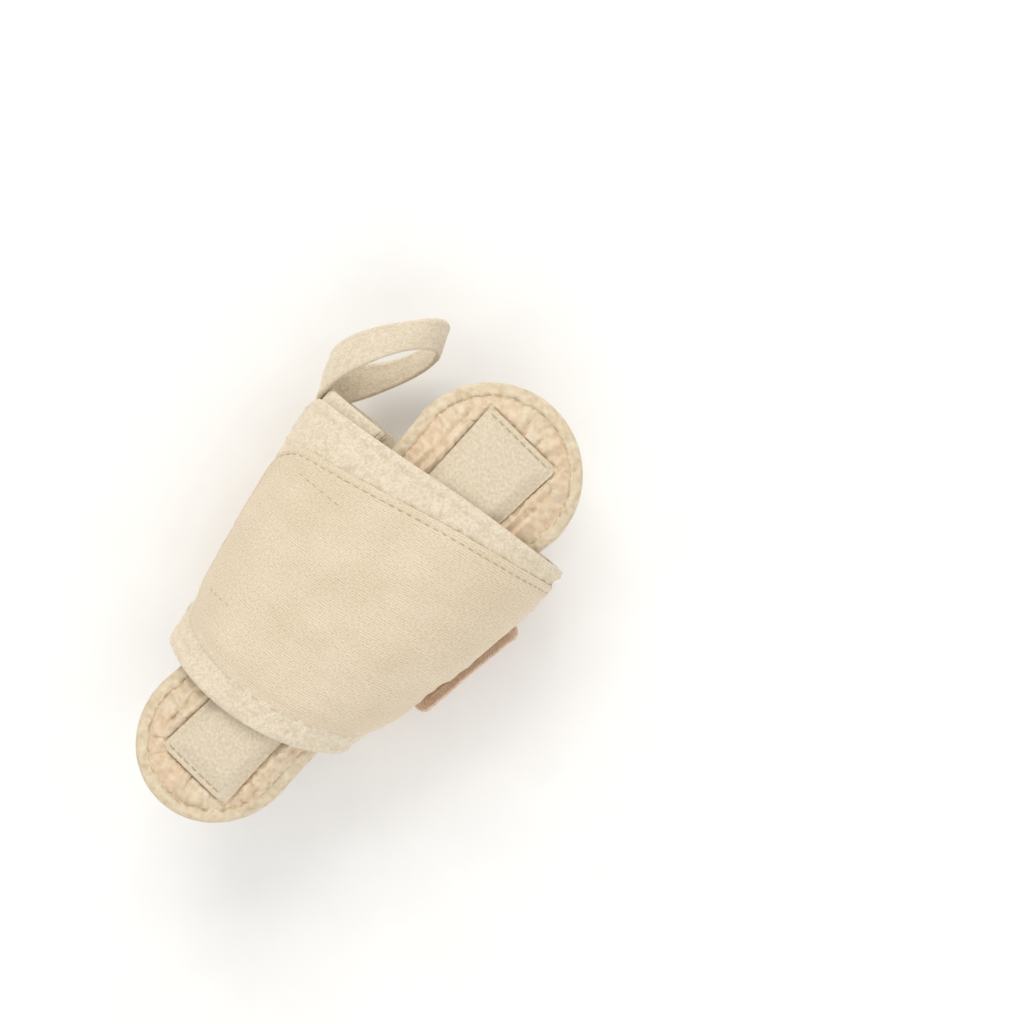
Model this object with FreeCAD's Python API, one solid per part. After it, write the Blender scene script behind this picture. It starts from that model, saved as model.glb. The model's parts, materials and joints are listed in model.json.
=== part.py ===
"""Wrist splint for a left hand: a soft wrap with a padded palmar stay, a closing flap,
a dorsal strap with a peel-off tab, and an elastic thumb loop.

Frame: +Y runs from the forearm to the fingers, +X to the little-finger side, +Z out of the
palm. The splint lies on its dorsal side, and the origin is on that flat rest face.
"""

import FreeCAD, Part
import math
import os

Vector = FreeCAD.Vector

# ---- driving dimensions, in millimetres and degrees ----

# The limb inside the splint: place along the limb, centre across it, half-width, back, palm side.
LIMB = [
    (-88.0, -3.0, 30.0, 2.9, 48.5),
    (-45.0, -4.5, 27.8, 2.9, 45.6),
    (0.0, -6.8, 36.8, 3.6, 47.0),
    (47.0, -9.7, 43.9, 2.9, 46.0),
    (88.0, -9.7, 46.0, 2.9, 39.5),
]
SQUARENESS = 2.5

# Cloth layers of the wrap, measured out from the limb, and the play between two layers.
PLAY = 0.05
LINING = (0.0, 0.8)
WRAP = (0.85, 2.4)
LOOP_PATCH = (2.45, 2.85)
BINDING_INSIDE = (-0.7, -0.05)
BINDING_OUTSIDE = (2.45, 3.2)
BINDING_FOLD = (-0.4, 2.9)
BINDING_WIDTH = 6.0
BINDING_TURN = 1.0
BINDING_END_ANGLE = 338.5
STRAP = (2.45, 4.0)
RADIAL_PATCH = ((150.0, 172.0), (-28.0, 18.0))
ULNAR_PATCH = ((-38.0, -22.0), (-9.0, 26.0))

# The wrap's edges along the limb: a height at X = 0 and a slope across the limb.
DISTAL_EDGE = 47.0
DISTAL_SLOPE = 0.112
PROXIMAL_EDGE = -38.6
PROXIMAL_SLOPE = 0.07
WRAP_ULNAR_ANGLE = 14.0
WRAP_RADIAL_ANGLE = 144.0
WRAP_RADIAL_TWIST = -0.165

# The flap, which rises over the pad, and the fixed strip that it is sewn to.
FLAP_SIDE = 3.6
FLAP_CROWN = 8.8
FLAP_LINING = (0.0, 0.6)
FLAP_BACKING = (0.65, 1.9)
FLAP_PANEL = (1.95, 3.0)
FLAP_HOOK = (-0.4, -0.08)
FLAP_ANGLES = (13.0, 175.0)
FLAP_CORNER = 9.0
FLAP_CORNER_SHARE = 0.075
HOOK_PATCH = ((152.0, 170.0), (-27.0, 17.0))
FLAP_PROXIMAL = -51.6
FLAP_PROXIMAL_AT = -17.0
FLAP_PROXIMAL_BEND = 0.0067
PANEL_DISTAL_BORDER = (9.5, 0.125)
PANEL_PROXIMAL_BORDER = 8.5
PANEL_END_ANGLE = 168.0
PANEL_CORNER_SHARES = (0.09, 0.12)
ANCHOR_ANGLES = (-20.0, 8.5)
ANCHOR_LIFT = (2.6, 3.6)
ANCHOR_INSET = 1.5

# The palmar pad's outline, seen from the palm.
PAD_DISTAL_TIP = 86.8
PAD_DISTAL_HALF = 29.0
PAD_DISTAL_AT = 0.5
PAD_PROXIMAL_TIP = -86.4
PAD_PROXIMAL_HALF = 25.6
PAD_PROXIMAL_AT = -1.9
PAD_WAIST = (-25.0, 23.4)
PAD_SIDE = 1.0
PAD_LINING = (0.0, 0.7)
PAD_FOAM = (0.75, 3.6)
PAD_FACE = (3.65, 4.5)
PAD_RIM = (0.75, 4.0)
PAD_RIM_WIDTH = 4.5
PAD_REACH = ((18.0, 162.0), (-88.0, 88.0))

# The strip that joins the pad to the wrap at the little-finger side, under both of them.
SIDE_STRIP = ((4.0, 52.0), (-28.0, 36.0))
SIDE_STRIP_CLOTH = (-0.7, -0.05)

# The stay, its end caps and the pocket sewn round them.
POCKET_ENDS = (-72.9, 73.0)
POCKET_HALF = (13.0, 11.8, 14.0)
POCKET_CLOTH = 0.9
POCKET_HEM = 2.0
STAY_HALF = 9.0
STAY_ENDS = (-67.0, 67.0)
STAY = (4.6, 6.2)
CAP_LENGTH = 9.0
CAP_WALL = 0.3
CAVITY_TOP = 6.6

# The dorsal strap and its tab.
STRAP_SPAN = (-11.2, 28.3)
STRAP_ANGLES = (205.0, 319.5)
TAB_ANGLES = (-38.5, -12.0)
TAB_SPREAD = 7.1
TAB_BASE = 3.3
TAB_CLOTH = 1.2
TAB_HOOK = 0.7
TAB_CORNER = 6.0
TAB_CORNER_SHARE = 0.25

# The thumb loop: an elastic band round the thumb, tilted to the limb.
LOOP_CENTRE = Vector(-49.3, 58.5, 26.0)
THUMB_AXIS = Vector(-0.42, 0.907, 0.0)
LOOP_ACROSS = Vector(0.907, 0.42, 0.0)
LOOP_HALF_WIDTH = 15.9
LOOP_HALF_DEPTH = 14.0
LOOP_SLANT = 12.0
LOOP_LEAN = 5.5
LOOP_SHIFT = 1.5
LOOP_BAND = 10.6
LOOP_CLOTH = 1.9
LOOP_CLEARANCE = 1.2
LOOP_END_ANGLE = 170.0

# Half the length, width and height of a block that holds the whole splint.
BEYOND = 120.0


# ---- the limb's surface ----


def blend(stations, y, column):
    """A smooth value along the limb, through the stations."""
    rows = [(s[0], s[column]) for s in stations]
    last = len(rows) - 1
    i = 0
    while i < last - 1 and y > rows[i + 1][0]:
        i += 1

    def slope(k):
        low = max(k - 1, 0)
        high = min(k + 1, last)
        return (rows[high][1] - rows[low][1]) / (rows[high][0] - rows[low][0])

    (y0, v0), (y1, v1) = rows[i], rows[i + 1]
    step = y1 - y0
    t = (y - y0) / step
    return (
        v0 * (2 * t**3 - 3 * t**2 + 1)
        + slope(i) * step * (t**3 - 2 * t**2 + t)
        + v1 * (3 * t**2 - 2 * t**3)
        + slope(i + 1) * step * (t**3 - t**2)
    )


def skin(y, angle, height, side=0.0, crown=0.0):
    """The point at an angle round the limb, from the little-finger side towards the palm."""
    centre = blend(LIMB, y, 1)
    back = blend(LIMB, y, 3)
    palm = blend(LIMB, y, 4)
    c = math.cos(math.radians(angle))
    s = math.sin(math.radians(angle))
    across = blend(LIMB, y, 2) + side + height
    deep = (palm - back) / 2 + height
    if s > 0:
        deep += crown
    n = SQUARENESS
    r = ((abs(c) / across) ** n + (abs(s) / deep) ** n) ** (-1 / n)
    return Vector(centre + r * c, y, (palm + back) / 2 + r * s)


def pad_skin(y, angle, height):
    return skin(y, angle, height, PAD_SIDE)


def flap_skin(y, angle, height):
    return skin(y, angle, height, FLAP_SIDE, FLAP_CROWN)


def on_edge(surface, angle, edge, start):
    """The place along the limb where a surface meets an edge that is a function of X."""
    y = start
    for _ in range(12):
        y = edge(surface(y, angle, 0.0).x)
    return y


# ---- making solids ----


def solid_between(outer, inner):
    """A closed solid between two grids of points."""
    skins = []
    for grid in (outer, inner):
        surface = Part.BSplineSurface()
        surface.interpolate(grid)
        skins.append(surface)
    faces = [s.toShape() for s in skins]
    u0, u1, v0, v1 = skins[0].bounds()
    a0, a1, b0, b1 = skins[1].bounds()
    pairs = [
        (skins[0].uIso(u0), skins[1].uIso(a0)),
        (skins[0].uIso(u1), skins[1].uIso(a1)),
        (skins[0].vIso(v0), skins[1].vIso(b0)),
        (skins[0].vIso(v1), skins[1].vIso(b1)),
    ]
    for one, other in pairs:
        faces.append(one.makeRuledSurface(other).toShape())
    shell = Part.Shell(faces)
    shell.sewShape()
    solid = Part.Solid(shell)
    if solid.Volume < 0:
        solid.reverse()
    return solid


def panel(surface, angles, edges, heights, across=25, along=13):
    """A cloth panel on a surface: its angles may vary along the limb, and its edges round it."""

    def grid(height):
        rows = []
        for i in range(across):
            share = i / (across - 1)
            row = []
            for j in range(along):
                part = j / (along - 1)
                y = edges[0](share) + part * (edges[1](share) - edges[0](share))
                low, high = angles(y)
                row.append(surface(y, low + share * (high - low), height(share)))
            rows.append(row)
        return rows

    bottom, top = heights
    return solid_between(grid(top), grid(bottom))


def steady(value):
    return lambda share: value


def fixed(low, high):
    return lambda y: (low, high)


def layer(low, high):
    return steady(low), steady(high)


def edge_along(surface, angles, edge, start):
    """An edge that is a function of X, turned into a function of the share round the limb."""

    def at(share):
        low, high = angles(start)
        return on_edge(surface, low + share * (high - low), edge, start)

    return at


def shifted(edge, by):
    return lambda share: edge(share) + by


def prism(outline):
    """A tall block of an outline drawn from the palm side."""
    return Part.Face(outline).extrude(Vector(0, 0, BEYOND))


def keep_above_rest(shape):
    above = Part.makeBox(2 * BEYOND, 2 * BEYOND, BEYOND, Vector(-BEYOND, -BEYOND, 0))
    return shape.common(above)


# ---- the wrap ----


def wrap_angles(y):
    return WRAP_RADIAL_ANGLE + WRAP_RADIAL_TWIST * y, 360.0 + WRAP_ULNAR_ANGLE


def distal_edge(x):
    return DISTAL_EDGE + DISTAL_SLOPE * x


def proximal_edge(x):
    return PROXIMAL_EDGE + PROXIMAL_SLOPE * x


wrap_distal = edge_along(skin, wrap_angles, distal_edge, DISTAL_EDGE)
wrap_proximal = edge_along(skin, wrap_angles, proximal_edge, PROXIMAL_EDGE)


def wrap_layer(heights):
    return panel(skin, wrap_angles, (wrap_proximal, wrap_distal), layer(*heights), across=41)


def binding_angles(y):
    return wrap_angles(y)[0], BINDING_END_ANGLE


def binding(edge, start, direction):
    """Cloth tape folded over one edge of the wrap and its lining."""
    line = edge_along(skin, binding_angles, edge, start)

    def strip(near, far, heights):
        ends = [shifted(line, direction * near), shifted(line, direction * far)]
        return panel(skin, binding_angles, ends[::direction], layer(*heights), 37, 5)

    outside = strip(-BINDING_WIDTH, BINDING_TURN, BINDING_OUTSIDE)
    inside = strip(-BINDING_WIDTH, BINDING_TURN, BINDING_INSIDE)
    fold = strip(PLAY, BINDING_TURN - PLAY, BINDING_FOLD)
    return keep_above_rest(fold.fuse([outside, inside]))


def patch(surface, angles, span, heights, across=13, along=7):
    edges = (steady(span[0]), steady(span[1]))
    return panel(surface, fixed(*angles), edges, layer(*heights), across, along)


# ---- the flap ----


def flap_angles(y):
    return FLAP_ANGLES


def flap_proximal_edge(x):
    return FLAP_PROXIMAL + FLAP_PROXIMAL_BEND * (x - FLAP_PROXIMAL_AT) ** 2


def rounded(edge, direction, corner, reach):
    """An edge that curves in over the last share of the flap, as its free corners do."""

    def at(share):
        t = max(0.0, (share - 1 + reach) / reach)
        return edge(share) - direction * corner * (1 - math.sqrt(max(0.0, 1 - t**2)))

    return at


flap_distal = edge_along(flap_skin, flap_angles, distal_edge, DISTAL_EDGE)
flap_proximal = edge_along(flap_skin, flap_angles, flap_proximal_edge, FLAP_PROXIMAL)
round_distal = rounded(flap_distal, 1, FLAP_CORNER, FLAP_CORNER_SHARE)
round_proximal = rounded(flap_proximal, -1, FLAP_CORNER, 2 * FLAP_CORNER_SHARE)


def flap_layer(heights):
    return panel(
        flap_skin, flap_angles, (round_proximal, round_distal), layer(*heights), across=45
    )


def ribbed_panel():
    """The ribbed knit face, sewn inside the border that the backing leaves round it."""
    angles = fixed(FLAP_ANGLES[0], PANEL_END_ANGLE)
    widest, slope = PANEL_DISTAL_BORDER

    def distal(x):
        return distal_edge(x) - widest + slope * x

    def proximal(x):
        return flap_proximal_edge(x) + PANEL_PROXIMAL_BORDER

    top = edge_along(flap_skin, angles, distal, DISTAL_EDGE)
    top = rounded(top, 1, FLAP_CORNER, PANEL_CORNER_SHARES[0])
    bottom = edge_along(flap_skin, angles, proximal, FLAP_PROXIMAL)
    bottom = rounded(bottom, -1, FLAP_CORNER, PANEL_CORNER_SHARES[1])
    return panel(flap_skin, angles, (bottom, top), layer(*FLAP_PANEL), across=45)


def anchor_skin(y, angle, height):
    low, high = ANCHOR_ANGLES
    share = (angle - low) / (high - low)
    lift = ANCHOR_LIFT[0] + share * (ANCHOR_LIFT[1] - ANCHOR_LIFT[0])
    return skin(y, angle, height + lift, 0.0, FLAP_CROWN - FLAP_SIDE)


def flap_anchor():
    """The strip at the little-finger side where the flap is sewn to the wrap."""
    angles = fixed(*ANCHOR_ANGLES)
    top = edge_along(anchor_skin, angles, distal_edge, DISTAL_EDGE)
    bottom = edge_along(anchor_skin, angles, proximal_edge, PROXIMAL_EDGE)
    edges = shifted(bottom, ANCHOR_INSET), shifted(top, -ANCHOR_INSET)
    return panel(anchor_skin, angles, edges, layer(0.0, FLAP_PANEL[1]), 13, 13)


# ---- the pad and its stay ----


def pad_outline(inset=0.0):
    """Round ends joined by two shallow waists."""
    top = PAD_DISTAL_TIP - PAD_DISTAL_HALF
    bottom = PAD_PROXIMAL_TIP + PAD_PROXIMAL_HALF
    wide = PAD_DISTAL_HALF - inset
    narrow = PAD_PROXIMAL_HALF - inset

    def arc(*points):
        return Part.Arc(*[Vector(x, y, 0) for x, y in points]).toShape()

    left_top = (PAD_DISTAL_AT - wide, top)
    right_top = (PAD_DISTAL_AT + wide, top)
    left_low = (PAD_PROXIMAL_AT - narrow, bottom)
    right_low = (PAD_PROXIMAL_AT + narrow, bottom)
    return Part.Wire(
        [
            arc(left_top, (PAD_DISTAL_AT, PAD_DISTAL_TIP - inset), right_top),
            arc(right_top, (PAD_WAIST[1] - inset, 0), right_low),
            arc(right_low, (PAD_PROXIMAL_AT, PAD_PROXIMAL_TIP + inset), left_low),
            arc(left_low, (PAD_WAIST[0] + inset, 0), left_top),
        ]
    )


def pad_slab(low, high):
    return patch(pad_skin, *PAD_REACH, (low, high), 31, 17)


def pad_layer(heights, inset):
    return pad_slab(*heights).common(prism(pad_outline(inset)))


def pad_rim():
    ring = prism(pad_outline()).cut(prism(pad_outline(PAD_RIM_WIDTH)))
    return pad_slab(*PAD_RIM).common(ring)


def pocket_outline(inset):
    """A long strip, a little wider at both ends, with its short sides sewn across."""
    low, high = POCKET_ENDS[0] + inset, POCKET_ENDS[1] - inset
    near, middle, far = [half - inset for half in POCKET_HALF]
    right = [Vector(near, low, 0), Vector(middle, 0, 0), Vector(far, high, 0)]
    left = [Vector(-p.x, p.y, 0) for p in right]
    return Part.Wire(
        [
            Part.Arc(*right).toShape(),
            Part.makeLine(right[2], left[2]),
            Part.Arc(left[2], left[1], left[0]).toShape(),
            Part.makeLine(left[0], right[0]),
        ]
    )


def stay_outline(half, low, high):
    """A straight bar with round ends."""
    ends = [Vector(-half, high - half, 0), Vector(half, high - half, 0)]
    feet = [Vector(half, low + half, 0), Vector(-half, low + half, 0)]
    return Part.Wire(
        [
            Part.Arc(ends[0], Vector(0, high, 0), ends[1]).toShape(),
            Part.makeLine(ends[1], feet[0]),
            Part.Arc(feet[0], Vector(0, low, 0), feet[1]).toShape(),
            Part.makeLine(feet[1], ends[0]),
        ]
    )


def stay():
    return pad_slab(*STAY).common(prism(stay_outline(STAY_HALF, *STAY_ENDS)))


def stay_cap(direction):
    """A dipped plastic tip over one end of the stay."""
    low, high = STAY_ENDS[0] - CAP_WALL, STAY_ENDS[1] + CAP_WALL
    body = pad_slab(STAY[0], STAY[1] + CAP_WALL)
    body = body.common(prism(stay_outline(STAY_HALF + CAP_WALL, low, high)))
    end = high if direction > 0 else low
    start = end - CAP_LENGTH if direction > 0 else end
    body = body.common(Part.makeBox(2 * BEYOND, CAP_LENGTH, BEYOND, Vector(-BEYOND, start, 0)))
    return body.cut(stay())


def stay_pocket():
    base = PAD_FACE[1] + PLAY
    hem = pad_slab(base, base + POCKET_CLOTH).common(prism(pocket_outline(0.0)))
    crown = pad_slab(base, CAVITY_TOP + POCKET_CLOTH)
    crown = crown.common(prism(pocket_outline(POCKET_HEM)))
    room = pad_slab(base - POCKET_CLOTH, CAVITY_TOP)
    room = room.common(prism(pocket_outline(POCKET_HEM + POCKET_CLOTH / 2)))
    return hem.fuse(crown).cut(room).removeSplitter()


# ---- the dorsal strap and its tab ----


def tab_layer(bottom, cloth):
    """The tab follows the wrap at its root and stands away from it towards its tip."""

    def height(extra):
        return lambda share: TAB_BASE + TAB_SPREAD * share**2 + bottom + extra

    low, high = STRAP_SPAN
    bottom_edge = rounded(steady(low), -1, TAB_CORNER, TAB_CORNER_SHARE)
    top_edge = rounded(steady(high), 1, TAB_CORNER, TAB_CORNER_SHARE)
    edges = bottom_edge, top_edge
    return panel(skin, fixed(*TAB_ANGLES), edges, (height(0.0), height(cloth)), 21, 7)


# ---- the thumb loop ----


def loop_section(angle):
    """The band's centre and its outward direction at an angle round the thumb."""
    c = math.cos(math.radians(angle))
    s = math.sin(math.radians(angle))
    tilt = LOOP_SLANT * c + LOOP_SHIFT + LOOP_LEAN * s
    centre = LOOP_CENTRE + LOOP_ACROSS * (LOOP_HALF_WIDTH * c)
    centre += Vector(0, 0, LOOP_HALF_DEPTH * s) + THUMB_AXIS * tilt
    out = LOOP_ACROSS * (LOOP_HALF_DEPTH * c) + Vector(0, 0, LOOP_HALF_WIDTH * s)
    return centre, out.normalize()


def thumb_loop():
    steps = 36
    grids = []
    for height in (LOOP_CLOTH / 2, -LOOP_CLOTH / 2):
        rows = []
        for i in range(steps + 1):
            centre, out = loop_section(LOOP_END_ANGLE * (2 * i / steps - 1))
            edge = THUMB_AXIS * (LOOP_BAND / 2)
            rows.append([centre + out * height + edge * k for k in (-1, -0.5, 0, 0.5, 1)])
        grids.append(rows)
    band = solid_between(*grids)
    free = BINDING_TURN + LOOP_CLEARANCE
    edge = [Vector(x, distal_edge(x) + free, 0) for x in (BEYOND, -BEYOND)]
    far = [Vector(x, BEYOND, 0) for x in (-BEYOND, BEYOND)]
    return band.common(prism(Part.makePolygon(edge + far + edge[:1])))


# ---- every piece of the splint ----


def pieces():
    yield "wrap_lining", wrap_layer(LINING)
    yield "base_wrap", wrap_layer(WRAP)
    yield "distal_binding", binding(distal_edge, DISTAL_EDGE, 1)
    yield "proximal_binding", binding(proximal_edge, PROXIMAL_EDGE, -1)
    yield "radial_loop_patch", patch(skin, *RADIAL_PATCH, LOOP_PATCH)
    yield "ulnar_loop_patch", patch(skin, *ULNAR_PATCH, LOOP_PATCH)
    yield "dorsal_strap", keep_above_rest(patch(skin, STRAP_ANGLES, STRAP_SPAN, STRAP, 25))
    yield "flap_anchor_strip", flap_anchor()
    yield "pad_side_strip", patch(skin, *SIDE_STRIP, SIDE_STRIP_CLOTH, 17)
    yield "pad_lining", pad_layer(PAD_LINING, 0.0)
    yield "pad_foam", pad_layer(PAD_FOAM, PAD_RIM_WIDTH + PLAY)
    yield "pad_face", pad_layer(PAD_FACE, PAD_RIM_WIDTH + PLAY)
    yield "pad_edge_binding", pad_rim()
    yield "palmar_stay", stay()
    yield "stay_distal_cap", stay_cap(1)
    yield "stay_proximal_cap", stay_cap(-1)
    yield "stay_pocket", stay_pocket()
    yield "flap_lining", flap_layer(FLAP_LINING)
    yield "flap_backing", flap_layer(FLAP_BACKING)
    yield "flap_panel", ribbed_panel()
    yield "flap_hook_patch", patch(flap_skin, *HOOK_PATCH, FLAP_HOOK)
    yield "strap_tab", tab_layer(TAB_HOOK + PLAY, TAB_CLOTH)
    yield "tab_hook_patch", tab_layer(0.0, TAB_HOOK)
    yield "thumb_loop_band", thumb_loop()


def main():
    os.makedirs("parts", exist_ok=True)
    for name, shape in pieces():
        shape.exportStep(f"parts/{name}.step")
        box = shape.optimalBoundingBox(False, False)
        print(
            f"{name:20s} solids {len(shape.Solids)} valid {shape.isValid()}"
            f" volume {shape.Volume:9.1f} mm3  x {box.XMin:6.1f} {box.XMax:6.1f}"
            f"  y {box.YMin:6.1f} {box.YMax:6.1f}  z {box.ZMin:5.1f} {box.ZMax:5.1f}"
        )


main()
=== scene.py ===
import json
import math

import bpy
import numpy as np
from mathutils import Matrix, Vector, noise


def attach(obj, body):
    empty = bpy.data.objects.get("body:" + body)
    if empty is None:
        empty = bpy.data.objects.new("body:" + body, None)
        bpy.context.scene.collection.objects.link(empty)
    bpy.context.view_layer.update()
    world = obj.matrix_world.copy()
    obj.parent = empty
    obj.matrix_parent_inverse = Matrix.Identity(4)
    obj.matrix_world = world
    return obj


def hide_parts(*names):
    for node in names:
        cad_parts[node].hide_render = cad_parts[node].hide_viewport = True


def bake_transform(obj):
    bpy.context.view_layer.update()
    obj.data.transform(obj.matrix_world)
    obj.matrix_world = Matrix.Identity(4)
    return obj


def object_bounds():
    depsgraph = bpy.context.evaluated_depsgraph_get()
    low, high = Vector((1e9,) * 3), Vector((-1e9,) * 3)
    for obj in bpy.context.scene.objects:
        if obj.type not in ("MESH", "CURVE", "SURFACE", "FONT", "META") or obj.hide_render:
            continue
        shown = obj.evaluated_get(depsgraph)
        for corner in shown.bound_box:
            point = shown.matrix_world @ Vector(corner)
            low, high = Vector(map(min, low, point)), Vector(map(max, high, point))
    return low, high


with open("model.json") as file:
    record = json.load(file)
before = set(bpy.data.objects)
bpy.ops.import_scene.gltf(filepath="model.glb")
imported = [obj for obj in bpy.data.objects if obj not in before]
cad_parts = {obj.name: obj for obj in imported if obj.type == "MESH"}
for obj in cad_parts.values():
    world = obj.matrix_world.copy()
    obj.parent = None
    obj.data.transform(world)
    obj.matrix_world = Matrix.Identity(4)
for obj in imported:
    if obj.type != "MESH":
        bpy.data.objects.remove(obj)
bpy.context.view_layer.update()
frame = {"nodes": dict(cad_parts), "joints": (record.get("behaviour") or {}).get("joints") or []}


# ---- The elastic knit wrap ----
# A band of beige elastic knit, 1.6 mm thick, round the back and both sides of the wrist.
# It is cut flat, lined, and bound with folded tape along both long edges.

MM = 0.001

# The limb that the splint is shaped round: place along it, centre, half-width, back, palm side.
LIMB_ROWS = (
    (-88.0, -3.0, 30.0, 2.9, 48.5),
    (-45.0, -4.5, 27.8, 2.9, 45.6),
    (0.0, -6.8, 36.8, 3.6, 47.0),
    (47.0, -9.7, 43.9, 2.9, 46.0),
    (88.0, -9.7, 46.0, 2.9, 39.5),
)
SQUARENESS = 2.5


def limb(y):
    """Centre, half-width, mid height and half-depth of the limb at a place along it."""
    last = len(LIMB_ROWS) - 1
    i = 0
    while i < last - 1 and y > LIMB_ROWS[i + 1][0]:
        i += 1
    low, high = LIMB_ROWS[i], LIMB_ROWS[i + 1]
    step = high[0] - low[0]
    t = (y - low[0]) / step
    found = []
    for column in range(1, 5):
        slopes = []
        for k in (i, i + 1):
            a, b = LIMB_ROWS[max(k - 1, 0)], LIMB_ROWS[min(k + 1, last)]
            slopes.append((b[column] - a[column]) / (b[0] - a[0]))
        value = low[column] * (2 * t**3 - 3 * t**2 + 1) + high[column] * (3 * t**2 - 2 * t**3)
        value += slopes[0] * step * (t**3 - 2 * t**2 + t) + slopes[1] * step * (t**3 - t**2)
        found.append(value)
    centre, half, back, palm = found
    return centre, half, (back + palm) / 2, (palm - back) / 2


def on_limb(y, angle, height, side=0.0, crown=0.0):
    """A point in millimetres, at an angle from the little-finger side towards the palm."""
    centre, half, middle, depth = limb(y)
    c, s = math.cos(math.radians(angle)), math.sin(math.radians(angle))
    across = half + side + height
    deep = depth + height + (crown if s > 0 else 0.0)
    r = ((abs(c) / across) ** SQUARENESS + (abs(s) / deep) ** SQUARENESS) ** (-1 / SQUARENESS)
    return Vector((centre + r * c, y, middle + r * s))


def edge_place(surface, angle, edge, y=0.0):
    """Where along the limb a surface meets an edge that is a function of X."""
    for _ in range(10):
        y = edge(surface(y, angle, 0.0).x)
    return y


def ripple(x, y, size, seed=0.0):
    """Smooth unevenness of cloth, from -1 to 1, with hollows and swells of about this size."""
    return noise.noise(Vector((x / size, y / size, seed)))


def between(ends, share):
    return ends[0] + share * (ends[1] - ends[0])


def smooth(low, high, value):
    t = min(max((value - low) / (high - low), 0.0), 1.0)
    return t * t * (3 - 2 * t)


def shown(name, verts, faces, uvs=None):
    """A smooth mesh from points in millimetres, pressed flat where it lies on the table, with
    its flat pattern kept as a UV map."""
    mesh = bpy.data.meshes.new(name)
    mesh.from_pydata([Vector((v.x, v.y, max(v.z, 0.0))) * MM for v in verts], [], faces)
    if uvs is not None:
        layer = mesh.uv_layers.new(name="cloth")
        for loop in mesh.loops:
            layer.data[loop.index].uv = uvs[loop.vertex_index]
    mesh.polygons.foreach_set("use_smooth", [True] * len(mesh.polygons))
    mesh.update()
    piece = bpy.data.objects.new(name, mesh)
    bpy.context.scene.collection.objects.link(piece)
    return piece


def cloth(name, point, size, counts, thickness):
    """A closed sheet of cloth with rounded edges. point(u, v, t) gives its face at t 1 and its
    back at t 0; size is the flat width and length, and counts the rows each way."""
    wide, long = size
    nu, nv = counts
    du, dv = 0.45 * thickness / wide, 0.45 * thickness / long
    verts, uvs, faces = [], [], []

    def add(u, v, t):
        verts.append(point(u, v, t))
        uvs.append((u * wide / 100, v * long / 100))
        return len(verts) - 1

    us = [i / (nu - 1) for i in range(nu)]
    vs = [j / (nv - 1) for j in range(nv)]
    top = [[add(u, v, 1.0) for v in vs] for u in us]
    low = [[add(u, v, 0.0) for v in vs] for u in us]
    for i in range(nu - 1):
        for j in range(nv - 1):
            faces.append((top[i][j], top[i + 1][j], top[i + 1][j + 1], top[i][j + 1]))
            faces.append((low[i][j], low[i][j + 1], low[i + 1][j + 1], low[i + 1][j]))
    ring = [(i, 0) for i in range(nu)] + [(nu - 1, j) for j in range(1, nv)]
    ring += [(i, nv - 1) for i in range(nu - 2, -1, -1)] + [(0, j) for j in range(nv - 2, 0, -1)]
    rims = []
    for t in (0.82, 0.5, 0.18):
        out = math.sqrt(max(0.0, 1 - (2 * t - 1) ** 2))
        row = []
        for i, j in ring:
            u = us[i] + out * du * ((i == nu - 1) - (i == 0))
            v = vs[j] + out * dv * ((j == nv - 1) - (j == 0))
            row.append(add(u, v, t))
        rims.append(row)
    loops = [[top[i][j] for i, j in ring]] + rims + [[low[i][j] for i, j in ring]]
    count = len(ring)
    for upper, lower in zip(loops, loops[1:]):
        for k in range(count):
            n = (k + 1) % count
            faces.append((upper[k], lower[k], lower[n], upper[n]))
    return shown(name, verts, faces, uvs)


def swept(name, rings, closed=False):
    """A solid run through rings of points, with its ends capped unless it closes on itself."""
    verts, uvs, faces = [], [], []
    along = 0.0
    m = len(rings[0])
    around = [0.0]
    for a, b in zip(rings[0], rings[0][1:]):
        around.append(around[-1] + (b - a).length)
    for i, ring in enumerate(rings):
        if i:
            along += (ring[0] - rings[i - 1][0]).length
        for k, p in enumerate(ring):
            verts.append(p)
            uvs.append((along / 100, around[k] / 100))
    last = len(rings) if closed else len(rings) - 1
    for i in range(last):
        a, b = i * m, ((i + 1) % len(rings)) * m
        for k in range(m):
            n = (k + 1) % m
            faces.append((a + k, b + k, b + n, a + n))
    if not closed:
        faces.append(tuple(range(m)))
        faces.append(tuple(range(len(verts) - 1, len(verts) - m - 1, -1)))
    return shown(name, verts, faces, uvs)


def linear(code):
    """An sRGB hex colour as the linear one that shaders take."""
    shades = [int(code[i : i + 2], 16) / 255 for i in (1, 3, 5)]
    return (*(s / 12.92 if s <= 0.04045 else ((s + 0.055) / 1.055) ** 2.4 for s in shades), 1.0)


def add_node(material, kind, settings=(), links=(), stops=()):
    """Adds a node, with its settings by name, its inputs set or linked by name or number, and
    its ramp's stops as places and hex colours."""
    made = material.node_tree.nodes.new("ShaderNode" + kind)
    for number, (place, code) in enumerate(stops):
        elements = made.color_ramp.elements
        element = elements[number] if number < len(elements) else elements.new(place)
        element.position = place
        element.color = linear(code)
    for name, value in dict(settings).items():
        setattr(made, name, value)
    for name, value in dict(links).items():
        if isinstance(value, bpy.types.NodeSocket):
            material.node_tree.links.new(value, made.inputs[name])
        else:
            made.inputs[name].default_value = value
    return made


def shader(name, sockets):
    """A new material and its surface node, with these sockets set."""
    material = bpy.data.materials.new(name)
    material.use_nodes = True
    surface = material.node_tree.nodes["Principled BSDF"]
    for socket, value in sockets.items():
        surface.inputs[socket].default_value = value
    return material, surface


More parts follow.
